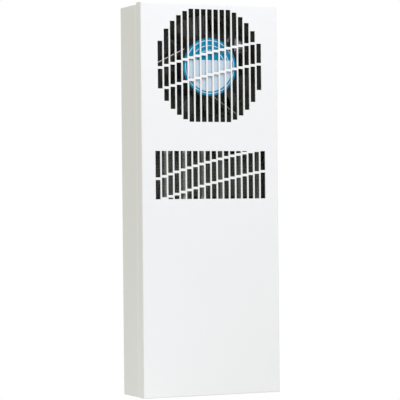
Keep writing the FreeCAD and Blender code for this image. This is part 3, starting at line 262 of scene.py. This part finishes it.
class Masks:
    """Makes masks, from zero to one, from the place on a piece.

    Places are measured from a middle point, x to the right, y to the rear and z up, in metres.
    """

    def __init__(self, made: bpy.types.Material, middle: Vector) -> None:
        """Add the nodes that measure the place.

        Args:
            made: The material that the masks are for.
            middle: The point from which the place is measured.
        """
        self.nodes, self.links = made.node_tree.nodes, made.node_tree.links
        coords = self.nodes.new("ShaderNodeTexCoord")
        shift = self.nodes.new("ShaderNodeMapping")
        shift.inputs["Location"].default_value = -middle
        self.links.new(coords.outputs["Object"], shift.inputs["Vector"])
        self.place = shift.outputs["Vector"]

    def along(self, degrees: float) -> bpy.types.NodeSocket:
        """Measure the distance from the middle along a direction, as seen from the front.

        Args:
            degrees: The direction, as an angle from the right.

        Returns:
            The socket with the distance.
        """
        node = self.nodes.new("ShaderNodeVectorMath")
        node.operation = "DOT_PRODUCT"
        turn = math.radians(degrees)
        node.inputs[1].default_value = (math.cos(turn), 0.0, math.sin(turn))
        self.links.new(self.place, node.inputs[0])
        return node.outputs["Value"]

    def deep(self) -> bpy.types.NodeSocket:
        """Measure the distance behind the middle.

        Returns:
            The socket with the distance.
        """
        split = self.nodes.new("ShaderNodeSeparateXYZ")
        self.links.new(self.place, split.inputs["Vector"])
        return split.outputs["Y"]

    def radius(self) -> bpy.types.NodeSocket:
        """Measure the distance from the axis through the middle.

        Returns:
            The socket with the distance.
        """
        flat = self.nodes.new("ShaderNodeVectorMath")
        flat.operation = "MULTIPLY"
        flat.inputs[1].default_value = (1.0, 0.0, 1.0)
        self.links.new(self.place, flat.inputs[0])
        node = self.nodes.new("ShaderNodeVectorMath")
        node.operation = "LENGTH"
        self.links.new(flat.outputs["Vector"], node.inputs[0])
        return node.outputs["Value"]

    def under(self, value: bpy.types.NodeSocket, limit: float) -> bpy.types.NodeSocket:
        """One where a value is under a limit."""
        return self._math("LESS_THAN", value, limit)

    def over(self, value: bpy.types.NodeSocket, limit: float) -> bpy.types.NodeSocket:
        """One where a value is over a limit."""
        return self._math("GREATER_THAN", value, limit)

    def near(self, value: bpy.types.NodeSocket, middle: float, width: float) -> bpy.types.NodeSocket:
        """One in a band of a width about a value."""
        return self._math("COMPARE", value, middle, width / 2)

    def rise(self, value: bpy.types.NodeSocket, low: float, high: float) -> bpy.types.NodeSocket:
        """A smooth rise from zero at a low value to one at a high value.

        Args:
            value: The socket with the value.
            low: Where the rise starts.
            high: Where it ends.

        Returns:
            The socket with the mask.
        """
        node = self.nodes.new("ShaderNodeMapRange")
        node.interpolation_type = "SMOOTHSTEP"
        node.inputs["From Min"].default_value = low
        node.inputs["From Max"].default_value = high
        self.links.new(value, node.inputs["Value"])
        return node.outputs["Result"]

    def both(self, first: bpy.types.NodeSocket, *more: bpy.types.NodeSocket) -> bpy.types.NodeSocket:
        """Make a mask that is one where every mask is one.

        Args:
            first: The first mask.
            more: Further masks.

        Returns:
            The socket with the mask.
        """
        for mask in more:
            first = self._math("MULTIPLY", first, mask)
        return first

    def either(self, first: bpy.types.NodeSocket, *more: bpy.types.NodeSocket) -> bpy.types.NodeSocket:
        """Make a mask that is one where any mask is one.

        Args:
            first: The first mask.
            more: Further masks.

        Returns:
            The socket with the mask.
        """
        for mask in more:
            first = self._math("MAXIMUM", first, mask)
        return first

    def tint(self, mask: bpy.types.NodeSocket, below: bpy.types.NodeSocket | Colour,
             above: Colour) -> bpy.types.NodeSocket:
        """Lay a colour over another where a mask is one.

        Args:
            mask: The mask.
            below: The colour, or the socket with the colour, where the mask is zero.
            above: The colour where the mask is one.

        Returns:
            The socket with the mixed colour.
        """
        mix = self.nodes.new("ShaderNodeMix")
        mix.data_type = "RGBA"
        factor, lower, upper = mix.inputs[0], mix.inputs[6], mix.inputs[7]
        self.links.new(mask, factor)
        upper.default_value = (*above, 1.0)
        if isinstance(below, bpy.types.NodeSocket):
            self.links.new(below, lower)
        else:
            lower.default_value = (*below, 1.0)
        return mix.outputs[2]

    def _math(self, kind: str, first: bpy.types.NodeSocket,
              *more: bpy.types.NodeSocket | float) -> bpy.types.NodeSocket:
        """One math node with its inputs set or linked.

        Args:
            kind: The operation.
            first: The socket that it works on.
            more: Further inputs, each a socket or a number.

        Returns:
            The result's socket.
        """
        node = self.nodes.new("ShaderNodeMath")
        node.operation = kind
        self.links.new(first, node.inputs[0])
        for socket, value in zip(node.inputs[1:], more):
            if isinstance(value, bpy.types.NodeSocket):
                self.links.new(value, socket)
            else:
                socket.default_value = value
        return node.outputs[0]


@dataclass(frozen=True)
class PaintedLightRamp:
    """A ramp of painted light or shade over a finish, which grows along one direction.

    Attributes:
        name: The material's name.
        base: The finish below the painted light or shade.
        colour: Colour where the painted light or shade is full, linear.
        way: Direction along which it grows.
        start: Distance from the middle, to the right or the rear, at which it starts.
        end: Distance from the middle at which it is full, on either side of the start.
    """

    name: str
    base: Finish
    colour: Colour
    way: Way
    start: float
    end: float

    def material(self, middle: Vector) -> bpy.types.Material:
        """Make the material.

        Args:
            middle: The point from which distances are measured.

        Returns:
            The procedural material.
        """
        made = self.base.material().copy()
        made.name = self.name
        shader = made.node_tree.nodes["Principled BSDF"]
        own_colour = shader.inputs["Base Color"].links[0].from_socket
        masks = Masks(made, middle)
        place = masks.deep() if self.way is Way.DEEP else masks.along(0.0)
        # Painted light or shade is laid over the finish's own colour.
        lit_or_shaded = masks.tint(masks.rise(place, self.start, self.end), own_colour, self.colour)
        masks.links.new(lit_or_shaded, shader.inputs["Base Color"])
        return made


# Painted highlight: the chassis side lighter next to the cover's rear edge, fading to the rear.
JOINT_HIGHLIGHT = PaintedLightRamp("white_coat_painted_highlight_by_joint", WHITE_COAT, (0.925, 0.928, 0.912), Way.DEEP, 16.0 * MM, 0.0)
# Painted shade: the heat pipes darker towards the right.
PIPE_ROW_SHADE = PaintedLightRamp("pipe_row_painted_shade", PIPE_METAL, (0.24, 0.245, 0.215), Way.ACROSS, -45.0 * MM, 50.0 * MM)
# Painted fill light: the fan frame lighter deeper in, where shade falls.
FRAME_FILL_LIGHT = PaintedLightRamp("fan_frame_painted_fill_light", CAST_BLACK, (0.160, 0.161, 0.132), Way.DEEP, 2.0 * MM, 26.0 * MM)
# Painted fill light: the blades lighter deeper in, where shade falls.
BLADE_FILL_LIGHT = PaintedLightRamp("fan_blade_painted_fill_light", BLADE_BLACK, (0.075, 0.076, 0.062), Way.DEEP, 14.0 * MM, 36.0 * MM)


@dataclass(frozen=True)
class DiscPrint:
    """The bare face of the fan's hub disc: a blue field, a pale panel and thin rings.

    Attributes:
        name: The material's name.
        blue: Colour of the field, linear.
        pale: Colour of the panel and rings, linear.
        panel_radius: Outer radius of the panel.
        panel_top: Height of the panel's straight top edge above the middle.
        rings: Radii of the thin rings.
        ring_width: Width of a ring.
        gloss: Roughness of the clear film.
        sheen: Specular level of the clear film.
    """

    name: str = "hub_disc_print"
    blue: Colour = (0.0, 0.222, 0.368)
    pale: Colour = (0.55, 0.65, 0.72)
    panel_radius: float = 34.5 * MM
    panel_top: float = 9.5 * MM
    rings: tuple[float, ...] = (37.2 * MM, 30.0 * MM, 23.5 * MM)
    ring_width: float = 1.2 * MM
    gloss: float = 0.3
    sheen: float = 0.2

    def material(self, middle: Vector) -> bpy.types.Material:
        """Make the disc's material.

        Args:
            middle: The disc's middle in the frame.

        Returns:
            The procedural material.
        """
        made = bpy.data.materials.new(self.name)
        made.use_nodes = True
        shader = made.node_tree.nodes["Principled BSDF"]
        shader.inputs["Roughness"].default_value = self.gloss
        shader.inputs["Specular IOR Level"].default_value = self.sheen
        masks = Masks(made, middle)
        radius, height = masks.radius(), masks.along(90.0)
        panel = masks.both(masks.under(radius, self.panel_radius), masks.under(height, self.panel_top))
        rings = [masks.near(radius, ring, self.ring_width) for ring in self.rings]
        printed = masks.tint(masks.either(panel, *rings), self.blue, self.pale)
        masks.links.new(printed, shader.inputs["Base Color"])
        return made


@dataclass(frozen=True)
class HighlitFanFrame:
    """The fan's enamelled frame, with a painted highlight along edges of two struts and painted fill light
    deeper in.

    Attributes:
        name: The material's name.
        enamel: The rest of the frame's finish, with painted fill light, lighter deeper in where shade falls.
        bare: Colour of the painted highlight on the strut edges, linear.
        edges: Angle of an edge's foot from the right, its distance from the axis and its width.
        start: Distance along the strut at which the hub ends.
        skin: Depth below the front face that gets the painted highlight.
    """

    name: str = "fan_frame_painted_highlight_and_fill"
    enamel: PaintedLightRamp = FRAME_FILL_LIGHT
    bare: Colour = (0.62, 0.60, 0.56)
    edges: tuple[tuple[float, float, float], ...] = (
        (116.0, 37.3 * MM, 1.1 * MM),
        (236.0, 32.3 * MM, 0.35 * MM),
    )
    start: float = 24.0 * MM
    skin: float = 0.3 * MM

    def material(self, middle: Vector) -> bpy.types.Material:
        """Make the frame's material.

        Args:
            middle: The middle of the frame's front face.

        Returns:
            The procedural material.
        """
        made = self.enamel.material(middle)
        made.name = self.name
        shader = made.node_tree.nodes["Principled BSDF"]
        painted = shader.inputs["Base Color"].links[0].from_socket
        masks = Masks(made, middle)
        lines = [masks.both(masks.near(masks.along(angle), reach, width),
                            masks.over(masks.along(angle + 90.0), self.start))
                 for angle, reach, width in self.edges]
        # The strut edges that face the light get a painted highlight in the front skin.
        highlit = masks.both(masks.either(*lines), masks.under(masks.deep(), self.skin))
        masks.links.new(masks.tint(highlit, painted, self.bare), shader.inputs["Base Color"])
        return made


def dress(node: str, material: bpy.types.Material) -> None:
    """Give a CAD node its material.

    Args:
        node: The node's name.
        material: The material that it gets.
    """
    slots = frame["nodes"][node].data.materials
    slots.clear()
    slots.append(material)
    log.info("%s: %s", node, material.name)


def new_piece(name: str, mesh: bmesh.types.BMesh, finish: Finish, body: str) -> bpy.types.Object:
    """Make an object from a finished bmesh and let it ride on a body.

    Args:
        name: The piece's name.
        mesh: The bmesh, which is freed.
        finish: The piece's finish.
        body: The CAD body that carries it.

    Returns:
        The new object, at the origin.
    """
    data = bpy.data.meshes.new(name)
    mesh.to_mesh(data)
    mesh.free()
    piece = bpy.data.objects.new(name, data)
    bpy.context.scene.collection.objects.link(piece)
    data.materials.append(finish.material())
    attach(piece, body)
    log.info("%s: %s, %d faces", name, finish.name, len(data.polygons))
    return piece


@dataclass
class Casing:
    """The sheet-metal case with its seals and fasteners.

    Attributes:
        thread_radius: Radius of an insert's plain bore.
        thread_height: Height of the thread's ridge.
        thread_pitch: Distance from turn to turn.
        thread_turns: Turns of the thread.
        thread_flank: Half the width of the ridge's foot, as a share of the pitch.
        turn_steps: Steps of a turn.
        root: Depth of the ridge's foot in the bore's wall.
        zinc: The nodes of bare zinc sheet.
        foam: The nodes of foam.
        fixings: The nodes of plated fasteners.
    """

    thread_radius: float = 3.0 * MM
    thread_height: float = 0.5 * MM
    thread_pitch: float = 1.0 * MM
    thread_turns: int = 8
    thread_flank: float = 0.45
    turn_steps: int = 16
    root: float = 0.04 * MM
    zinc: tuple[str, ...] = ("rear_panel", "cover_hooks")
    foam: tuple[str, ...] = ("rear_gasket", "cover_gasket")
    fixings: tuple[str, ...] = ("mounting_inserts", "cover_screws")

    def build(self) -> None:
        """Make the thread ridges that the plain bores of the inserts lack."""
        mesh = bmesh.new()
        for across, up in self.insert_middles():
            self.add_thread(mesh, across, up)
        bmesh.ops.recalc_face_normals(mesh, faces=mesh.faces[:])
        new_piece("insert_threads", mesh, ZINC_SCREW, "case")

    def insert_middles(self) -> list[tuple[float, float]]:
        """The middles of the inserts, from the record's bolt patterns.

        Returns:
            Pairs of x and z.
        """
        mounts = frame["record"]["mounts"]
        spacings = [mount["dims"] for mount in mounts if mount["kind"] == "bolt_pattern"]
        return [(side * dims["spacing_x_mm"] * MM / 2, end * dims["spacing_y_mm"] * MM / 2)
                for dims in spacings for side in (-1, 1) for end in (-1, 1)]

    def add_thread(self, mesh: bmesh.types.BMesh, across: float, up: float) -> None:
        """Add one insert's ridge, a three-sided section wound along the bore.

        Args:
            mesh: The bmesh that gets the ridge.
            across: The insert's x.
            up: The insert's z.
        """
        foot = across + self.thread_radius + self.root
        half = self.thread_pitch * self.thread_flank
        start = -self.thread_pitch * (self.thread_turns + 1)
        tip = foot - self.root - self.thread_height
        places = ((foot, start - half, up), (foot, start + half, up), (tip, start, up))
        section = [mesh.verts.new(place) for place in places]
        face = mesh.faces.new(section)
        steps = self.thread_turns * self.turn_steps
        bmesh.ops.spin(mesh, geom=[*section, *face.edges, face], cent=(across, 0.0, up), axis=(0.0, 1.0, 0.0),
                       dvec=(0.0, self.thread_pitch / self.turn_steps, 0.0),
                       angle=math.tau * self.thread_turns, steps=steps)

    def dress(self) -> None:
        """Give every piece of the case its finish."""
        dress("front_cover", WHITE_COAT.material())
        cover_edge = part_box("front_cover")[1].y
        # The chassis side gets a painted highlight next to the cover's rear edge.
        dress("chassis_shell", JOINT_HIGHLIGHT.material(Vector((0.0, cover_edge, 0.0))))
        for nodes, finish in ((self.zinc, ZINC_SHEET), (self.foam, BLACK_FOAM), (self.fixings, ZINC_SCREW)):
            for node in nodes:
                dress(node, finish.material())


@dataclass
class Core:
    """The heat pipe core: pipes, plates and two stacks of thin fins with drawn collars.

    Attributes:
        fin_thick: Thickness of a fin.
        fin_pitch: Distance from fin to fin.
        collar: Height of the collar round a pipe.
        pipe_radius: Outer radius of a pipe.
        pipe_clear: Gap between pipe and collar.
        pipe_pitch: Distance from pipe to pipe in a row.
        front_pipes: Pipes in the front row; the rear row has one less.
        hole_sides: Sides of a hole's outline.
        plates: The nodes of bare sheet round the core.
        stacks: The nodes of the two fin stacks.
    """

    fin_thick: float = 0.25 * MM
    fin_pitch: float = 2.0 * MM
    collar: float = 0.6 * MM
    pipe_radius: float = 4.75 * MM
    pipe_clear: float = 0.1 * MM
    pipe_pitch: float = 28.6 * MM
    front_pipes: int = 7
    hole_sides: int = 16
    plates: tuple[str, ...] = ("divider_plate", "core_top_plate", "core_bottom_plate", "core_side_plates",
                               "ambient_fan_plate", "enclosure_fan_plate")
    stacks: tuple[str, ...] = ("ambient_fins", "enclosure_fins")

    def build(self) -> None:
        """Make both fin stacks at their real pitch, in place of the wider spaced CAD fins."""
        for node in self.stacks:
            low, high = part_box(node)
            mesh = bmesh.new()
            self.add_fin(mesh, low, high)
            fin = mesh.verts[:] + mesh.edges[:] + mesh.faces[:]
            room = high.z - low.z - self.collar
            steps = int(room / self.fin_pitch)
            for step in range(1, steps + 1):
                copied = bmesh.ops.duplicate(mesh, geom=fin)["geom"]
                corners = [part for part in copied if isinstance(part, bmesh.types.BMVert)]
                bmesh.ops.translate(mesh, verts=corners, vec=(0.0, 0.0, room * step / steps))
            piece = new_piece(f"{node}_fine", mesh, FIN_METAL, "case")
            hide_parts(node)

    def add_fin(self, mesh: bmesh.types.BMesh, low: Vector, high: Vector) -> None:
        """Add the lowest fin of a stack: a thin plate with a collar drawn up round every pipe.

        Args:
            mesh: The empty bmesh that gets the fin.
            low: The stack's lowest corner.
            high: The stack's highest corner.
        """
        middle = (low + high) / 2
        spread = Matrix.Diagonal((high.x - low.x, high.y - low.y, 1.0, 1.0))
        level = Matrix.Translation((middle.x, middle.y, low.z))
        bmesh.ops.create_grid(mesh, x_segments=1, y_segments=1, size=0.5, matrix=level @ spread)
        bmesh.ops.delete(mesh, geom=mesh.faces[:], context="FACES_ONLY")
        holes: list[bmesh.types.BMEdge] = []
        for across, depth in self.pipe_middles():
            ring = bmesh.ops.create_circle(mesh, cap_ends=False, segments=self.hole_sides,
                                           radius=self.pipe_radius + self.pipe_clear,
                                           matrix=Matrix.Translation((across, depth, low.z)))
            holes += {edge for corner in ring["verts"] for edge in corner.link_edges}
        bmesh.ops.triangle_fill(mesh, use_beauty=True, edges=mesh.edges[:], normal=(0.0, 0.0, 1.0))
        drawn = bmesh.ops.extrude_edge_only(mesh, edges=holes)["geom"]
        rims = [part for part in drawn if isinstance(part, bmesh.types.BMVert)]
        bmesh.ops.translate(mesh, verts=rims, vec=(0.0, 0.0, self.collar))
        bmesh.ops.recalc_face_normals(mesh, faces=mesh.faces[:])
        # The wall grows against the normals, so the side towards the pipes keeps its place.
        bmesh.ops.reverse_faces(mesh, faces=mesh.faces[:])
        bmesh.ops.solidify(mesh, geom=mesh.faces[:], thickness=self.fin_thick)

    def pipe_middles(self) -> list[tuple[float, float]]:
        """The middles of the pipes, as pairs of x and y.

        Returns:
            The front row from left to right, then the rear row.
        """
        low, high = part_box("heat_pipes")
        rows = ((self.front_pipes, low.y + self.pipe_radius),
                (self.front_pipes - 1, high.y - self.pipe_radius))
        return [((index - (count - 1) / 2) * self.pipe_pitch, depth)
                for count, depth in rows for index in range(count)]

    def dress(self) -> None:
        """Give the pipes and plates their finishes."""
        # The pipes get painted shade, darker towards the right.
        dress("heat_pipes", PIPE_ROW_SHADE.material(Vector()))
        for node in self.plates:
            dress(node, ZINC_SHEET.material())


@dataclass
class Fan:
    """One axial fan with its motor.

    Attributes:
        name: The start of its nodes' names.
        faces_front: Whether it is seen through the front slots.
    """

    name: str
    faces_front: bool = False

    def dress(self) -> None:
        """Give every piece of the fan its finish."""
        for piece, finish in (("shaft", GROUND_STEEL), ("bearings", GROUND_STEEL), ("stator", LAMINATED),
                              ("windings", COPPER_WIRE), ("screws", BLACK_SCREW)):
            dress(f"{self.name}_{piece}", finish.material())
        if self.faces_front:
            self.dress_front()
        else:
            dress(f"{self.name}_housing", CAST_BLACK.material())
            dress(f"{self.name}_rotor", BLADE_BLACK.material())

    def dress_front(self) -> None:
        """Dress what shows through the front slots: hub disc, frame and blades, with painted highlight and
        fill light.
        """
        low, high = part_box(f"{self.name}_label")
        dress(f"{self.name}_label", DiscPrint().material((low + high) / 2))
        low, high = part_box(f"{self.name}_housing")
        middle = (low + high) / 2
        middle.y = low.y
        dress(f"{self.name}_housing", HighlitFanFrame().material(middle))
        dress(f"{self.name}_rotor", BLADE_FILL_LIGHT.material(middle))


@dataclass
class Wiring:
    """Terminal block, supply inlet, earth stud and fan leads in the sealed loop.

    Attributes:
        moulded: The nodes of moulded plastic.
        screws: The nodes of plated screws.
        brass: The nodes of brass.
        leads: The nodes of lead jackets and grommets.
    """

    moulded: tuple[str, ...] = ("terminal_block", "inlet_bushing", "inlet_locknut")
    screws: tuple[str, ...] = ("terminal_screws", "terminal_block_screws")
    brass: tuple[str, ...] = ("earth_stud", "earth_nut")
    leads: tuple[str, ...] = ("ambient_fan_lead", "enclosure_fan_lead", "lead_grommets")

    def dress(self) -> None:
        """Give every piece of the wiring its finish."""
        for nodes, finish in ((self.moulded, BLACK_MOULD), (self.screws, ZINC_SCREW),
                              (self.brass, BRASS), (self.leads, JACKET)):
            for node in nodes:
                dress(node, finish.material())


@dataclass(frozen=True)
class SoftBox:
    """A square soft box.

    Attributes:
        name: The lamp's name.
        place: Where it hangs.
        target: The point that it faces.
        size: Side of the square.
        power: Power in watts.
        colour: Colour of its light, linear.
    """

    name: str
    place: tuple[float, float, float]
    target: tuple[float, float, float]
    size: float
    power: float
    colour: Colour

    def build(self) -> None:
        """Make the lamp."""
        data = bpy.data.lights.new(self.name, "AREA")
        data.size = self.size
        data.energy = self.power
        data.color = self.colour
        lamp = bpy.data.objects.new(self.name, data)
        bpy.context.scene.collection.objects.link(lamp)
        lamp.location = self.place
        aim = Vector(self.target) - Vector(self.place)
        lamp.rotation_euler = aim.to_track_quat("-Z", "Y").to_euler()
        lamp.visible_camera = False


@dataclass
class Studio:
    """Floor, background, lamps and camera.

    Attributes:
        floor_drop: Distance from the case down to the floor.
        floor_size: Side of the floor.
        floor_colour: Colour of the floor, linear.
        floor_rough: Roughness of the floor.
        fade_start: Distance from the middle at which the floor starts to turn white.
        fade_end: Distance from the middle at which it is white.
        fill: Colour of the light from all round, linear.
        lamps: The soft boxes.
        azimuth: The camera's angle from the front in degrees, to the right.
        elevation: The camera's angle above the level in degrees.
        roll: The camera's turn about its own axis in degrees.
        distance: Distance of the camera from the case's middle.
        aim_across: The camera's shift to the right.
        aim_up: The camera's shift up.
        focal_pixels: Focal length in pixels of the photograph.
        frame_pixels: Width of the photograph in pixels.
        sensor: Width of the camera's sensor in millimetres.
    """

    floor_drop: float = 0.15
    floor_size: float = 30.0
    floor_colour: Colour = (0.9, 0.9, 0.9)
    floor_rough: float = 0.9
    fade_start: float = 0.35
    fade_end: float = 1.1
    fill: Colour = (0.584, 0.582, 0.490)
    lamps: tuple[SoftBox, ...] = (
        SoftBox("key_box", (-0.1, -1.5, 1.5), (0.0, 0.0, 0.05), 1.2, 27.3, (0.82, 0.83, 1.0)),
        SoftBox("low_card", (-0.22, -0.22, -0.30), (-0.06, -0.05, -0.26), 0.2, 0.05, (0.93, 0.94, 1.0)),
    )
    azimuth: float = -24.14
    elevation: float = -0.121
    roll: float = -0.563
    distance: float = 2.8822
    aim_across: float = 0.01674
    aim_up: float = -0.00015
    focal_pixels: float = 1999.0
    frame_pixels: float = 400.0
    sensor: float = 36.0

    def build(self) -> None:
        """Make the whole studio."""
        self.floor()
        self.background()
        for lamp in self.lamps:
            lamp.build()
        self.camera()

    def floor(self) -> None:
        """Lay a plain pale floor below the wall-hung unit."""
        mesh = bmesh.new()
        level = CAD_BOX[0][2] - self.floor_drop
        bmesh.ops.create_grid(mesh, x_segments=1, y_segments=1, size=self.floor_size / 2,
                              matrix=Matrix.Translation((0.0, 0.0, level)))
        data = bpy.data.meshes.new("floor")
        mesh.to_mesh(data)
        mesh.free()
        plane = bpy.data.objects.new("floor", data)
        bpy.context.scene.collection.objects.link(plane)
        data.materials.append(self.floor_material())

    def floor_material(self) -> bpy.types.Material:
        """Make the floor's material, pale by the object and white to the eye further out.

        Returns:
            The procedural material.
        """
        made = bpy.data.materials.new("pale_floor")
        made.use_nodes = True
        nodes, links = made.node_tree.nodes, made.node_tree.links
        shader = nodes["Principled BSDF"]
        shader.inputs["Base Color"].default_value = (*self.floor_colour, 1.0)
        shader.inputs["Roughness"].default_value = self.floor_rough
        glow = nodes.new("ShaderNodeEmission")
        glow.inputs["Color"].default_value = (*WHITE, 1.0)
        coords = nodes.new("ShaderNodeTexCoord")
        reach = nodes.new("ShaderNodeVectorMath")
        reach.operation = "LENGTH"
        links.new(coords.outputs["Object"], reach.inputs[0])
        fade = nodes.new("ShaderNodeMapRange")
        fade.interpolation_type = "SMOOTHSTEP"
        fade.inputs["From Min"].default_value = self.fade_start
        fade.inputs["From Max"].default_value = self.fade_end
        links.new(reach.outputs["Value"], fade.inputs["Value"])
        seen = nodes.new("ShaderNodeMath")
        seen.operation = "MULTIPLY"
        links.new(fade.outputs["Result"], seen.inputs[0])
        links.new(self.seen_ray(nodes, links), seen.inputs[1])
        mix = nodes.new("ShaderNodeMixShader")
        links.new(seen.outputs[0], mix.inputs["Fac"])
        links.new(shader.outputs["BSDF"], mix.inputs[1])
        links.new(glow.outputs["Emission"], mix.inputs[2])
        links.new(mix.outputs["Shader"], nodes["Material Output"].inputs["Surface"])
        return made

    @staticmethod
    def seen_ray(nodes: bpy.types.Nodes, links: bpy.types.NodeLinks) -> bpy.types.NodeSocket:
        """One for rays that show the background: from the camera, off gloss and through glass.

        Args:
            nodes: The nodes to add to.
            links: The links to add to.

        Returns:
            The socket with the mask.
        """
        path = nodes.new("ShaderNodeLightPath")
        shown = path.outputs["Is Camera Ray"]
        for name in ("Is Glossy Ray", "Is Transmission Ray"):
            node = nodes.new("ShaderNodeMath")
            node.operation = "MAXIMUM"
            links.new(shown, node.inputs[0])
            links.new(path.outputs[name], node.inputs[1])
            shown = node.outputs[0]
        return shown

    def background(self) -> None:
        """Make the world white to the eye, with a softer fill light on the object."""
        world = bpy.data.worlds.new("studio")
        bpy.context.scene.world = world
        world.use_nodes = True
        nodes, links = world.node_tree.nodes, world.node_tree.links
        lit = nodes["Background"]
        lit.inputs["Color"].default_value = (*self.fill, 1.0)
        white = nodes.new("ShaderNodeBackground")
        white.inputs["Color"].default_value = (*WHITE, 1.0)
        mix = nodes.new("ShaderNodeMixShader")
        links.new(self.seen_ray(nodes, links), mix.inputs["Fac"])
        links.new(lit.outputs["Background"], mix.inputs[1])
        links.new(white.outputs["Background"], mix.inputs[2])
        links.new(mix.outputs["Shader"], nodes["World Output"].inputs["Surface"])

    def camera(self) -> None:
        """Set up the camera at the photograph's angle."""
        azimuth = math.radians(self.azimuth)
        elevation = math.radians(self.elevation)
        roll = math.radians(self.roll)
        level = math.cos(elevation)
        back = Vector((math.sin(azimuth) * level, -math.cos(azimuth) * level, math.sin(elevation)))
        right = Vector((math.cos(azimuth), math.sin(azimuth), 0.0))
        up = back.cross(right).normalized()
        eye = right * self.aim_across + up * self.aim_up + back * self.distance
        turned = right * math.cos(roll) + up * math.sin(roll)
        raised = up * math.cos(roll) - right * math.sin(roll)
        data = bpy.data.cameras.new("camera")
        data.sensor_width = self.sensor
        data.lens = self.sensor * self.focal_pixels / self.frame_pixels
        view = bpy.data.objects.new("camera", data)
        bpy.context.scene.collection.objects.link(view)
        axes = Matrix((turned, raised, back)).transposed()
        view.matrix_world = Matrix.Translation(eye) @ axes.to_4x4()
        bpy.context.scene.camera = view


def main() -> None:
    """Build and dress the sub-assemblies in order, then the studio."""
    logging.basicConfig(level=logging.INFO, format="%(message)s")
    bpy.context.scene.view_settings.view_transform = "Standard"
    for assembly in (Casing(), Core()):
        assembly.build()
        assembly.dress()
    for fan in (Fan("ambient_fan", faces_front=True), Fan("enclosure_fan")):
        fan.dress()
    Wiring().dress()
    Studio().build()


if __name__ == "__main__":
    main()
